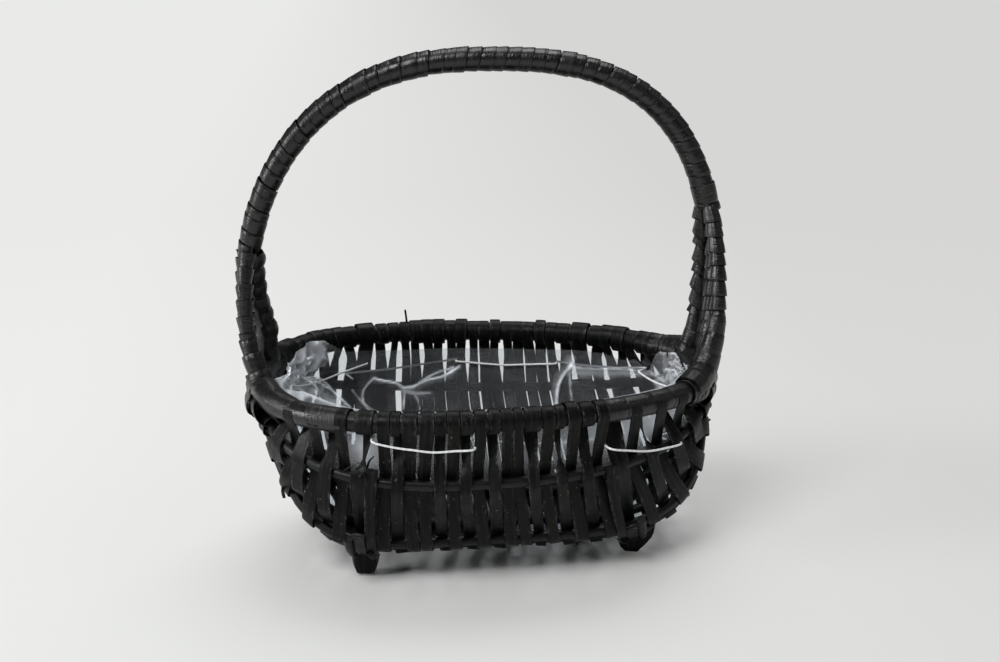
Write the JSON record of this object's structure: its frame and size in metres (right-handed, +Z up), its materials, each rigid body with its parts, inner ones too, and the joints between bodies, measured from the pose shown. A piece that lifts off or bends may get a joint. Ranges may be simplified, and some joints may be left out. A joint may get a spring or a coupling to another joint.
{
  "type": "gift basket",
  "caption": "Boat-shaped gift basket of stained flat splints woven over round ribs, with a ribbon-wound hoop handle, bent-cane feet and a clear film liner held by a running stitch.",
  "frame": {"origin": "on the floor, under the middle of the whole object's box", "axes": "+X along the basket to its narrower end, -Y the pictured front, +Z up"},
  "size_m": [0.2764, 0.1866, 0.2891],
  "materials": {
    "splint_wood": "flat split wood, stained black, satin, worn at the edges",
    "rod_wood": "round peeled rod, stained black, satin",
    "ribbon_wood": "thin flat ribbon of split wood, stained black, satin with worn flecks",
    "liner_film": "thin clear film, glossy, creased where it is gathered",
    "stitch_thread": "twisted white thread, matt"
  },
  "bodies": {
    "root": {"ear_lashing_left": "ribbon_wood", "ear_lashing_right": "ribbon_wood", "foot_front_left": "rod_wood", "foot_front_right": "rod_wood", "foot_rear_left": "rod_wood", "foot_rear_right": "rod_wood", "handle_rod_front": "rod_wood", "handle_rod_middle": "rod_wood", "handle_rod_rear": "rod_wood", "handle_winding": "ribbon_wood", "leg_weave_left": "ribbon_wood", "leg_weave_right": "ribbon_wood", "liner": "liner_film", "liner_stitch": "stitch_thread", "rib_front_bottom": "rod_wood", "rib_front_lower": "rod_wood", "rib_front_upper": "rod_wood", "rib_keel": "rod_wood", "rib_rear_bottom": "rod_wood", "rib_rear_lower": "rod_wood", "rib_rear_upper": "rod_wood", "rim_hoop": "rod_wood", "splint_01": "splint_wood", "splint_02": "splint_wood", "splint_03": "splint_wood", "splint_04": "splint_wood", "splint_05": "splint_wood", "splint_06": "splint_wood", "splint_07": "splint_wood", "splint_08": "splint_wood", "splint_09": "splint_wood", "splint_10": "splint_wood", "splint_11": "splint_wood", "splint_12": "splint_wood", "splint_13": "splint_wood", "splint_14": "splint_wood", "splint_15": "splint_wood", "splint_16": "splint_wood", "splint_17": "splint_wood", "splint_18": "splint_wood", "splint_19": "splint_wood", "splint_20": "splint_wood", "splint_21": "splint_wood", "splint_22": "splint_wood", "splint_23": "splint_wood", "splint_24": "splint_wood", "splint_25": "splint_wood", "splint_26": "splint_wood", "splint_27": "splint_wood", "splint_28": "splint_wood", "splint_29": "splint_wood", "splint_30": "splint_wood", "splint_31": "splint_wood", "splint_32": "splint_wood", "splint_33": "splint_wood", "splint_34": "splint_wood", "splint_35": "splint_wood", "splint_36": "splint_wood"}
  },
  "joints": []
}
